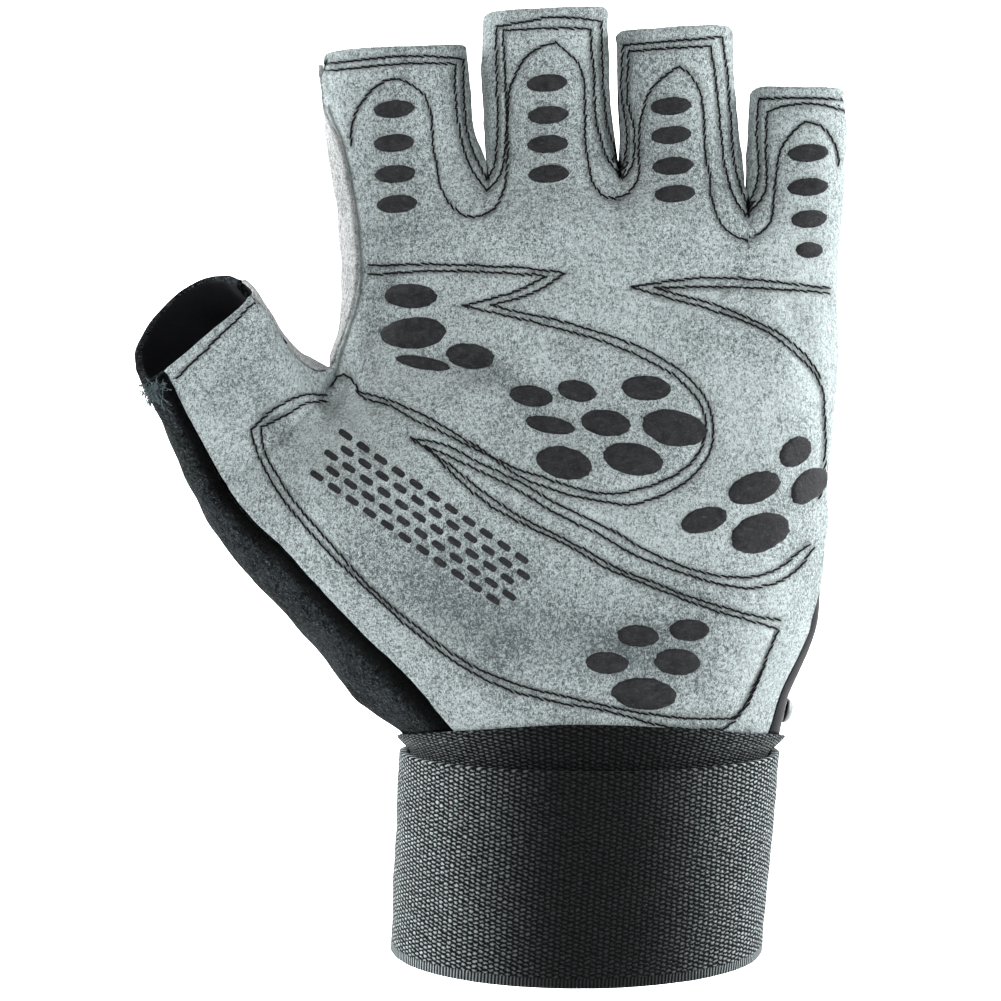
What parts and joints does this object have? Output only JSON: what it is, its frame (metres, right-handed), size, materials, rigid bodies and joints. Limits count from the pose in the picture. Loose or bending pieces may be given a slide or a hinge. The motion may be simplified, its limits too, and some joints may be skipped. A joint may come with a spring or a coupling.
{
  "type": "wrist wrap glove",
  "caption": "Left half-finger training glove: grey suede palm with raised rubber grip dots, black stretch back, knit thumb gusset and a wide elastic wrist wrap.",
  "frame": {"origin": "middle of the wrist opening at the lower edge of the wrap, where the wrist goes in", "axes": "+Z from the wrist to the fingertips, palm towards -Y, thumb towards -X"},
  "size_m": [0.139, 0.0648, 0.1888],
  "materials": {
    "grey_suede": "matte brushed suede nap",
    "pale_suede": "matte brushed suede nap",
    "black_stretch": "matte fine-knit stretch fabric",
    "charcoal_knit": "fuzzy brushed knit",
    "black_twill": "smooth fine twill",
    "cuff_elastic": "woven elastic webbing",
    "wrap_elastic": "woven elastic webbing",
    "hook_patch": "hook and loop tape",
    "rubber_print": "matte speckled rubber print",
    "grey_tab": "satin translucent rubber",
    "black_thread": "sewing thread"
  },
  "bodies": {
    "root": {"back_panel": "black_stretch", "cuff_band": "cuff_elastic", "fastener_patch": "hook_patch", "grip_dot_centre_21": "rubber_print", "grip_dot_centre_22": "rubber_print", "grip_dot_centre_23": "rubber_print", "grip_dot_centre_24": "rubber_print", "grip_dot_centre_25": "rubber_print", "grip_dot_centre_26": "rubber_print", "grip_dot_centre_27": "rubber_print", "grip_dot_centre_28": "rubber_print", "grip_dot_edge_29": "rubber_print", "grip_dot_edge_30": "rubber_print", "grip_dot_edge_31": "rubber_print", "grip_dot_edge_32": "rubber_print", "grip_dot_edge_33": "rubber_print", "grip_dot_heel_34": "rubber_print", "grip_dot_heel_35": "rubber_print", "grip_dot_heel_36": "rubber_print", "grip_dot_heel_37": "rubber_print", "grip_dot_heel_38": "rubber_print", "grip_dot_index_01": "rubber_print", "grip_dot_index_02": "rubber_print", "grip_dot_index_03": "rubber_print", "grip_dot_index_04": "rubber_print", "grip_dot_middle_05": "rubber_print", "grip_dot_middle_06": "rubber_print", "grip_dot_middle_07": "rubber_print", "grip_dot_middle_08": "rubber_print", "grip_dot_pinky_13": "rubber_print", "grip_dot_pinky_14": "rubber_print", "grip_dot_pinky_15": "rubber_print", "grip_dot_pinky_16": "rubber_print", "grip_dot_ring_09": "rubber_print", "grip_dot_ring_10": "rubber_print", "grip_dot_ring_11": "rubber_print", "grip_dot_ring_12": "rubber_print", "grip_dot_upper_17": "rubber_print", "grip_dot_upper_18": "rubber_print", "grip_dot_upper_19": "rubber_print", "grip_dot_upper_20": "rubber_print", "index_side_strip": "pale_suede", "palm_panel": "grey_suede", "side_tab": "grey_tab", "thumb_gusset": "charcoal_knit", "ulnar_gusset": "black_twill", "wrist_wrap": "wrap_elastic"}
  },
  "joints": []
}
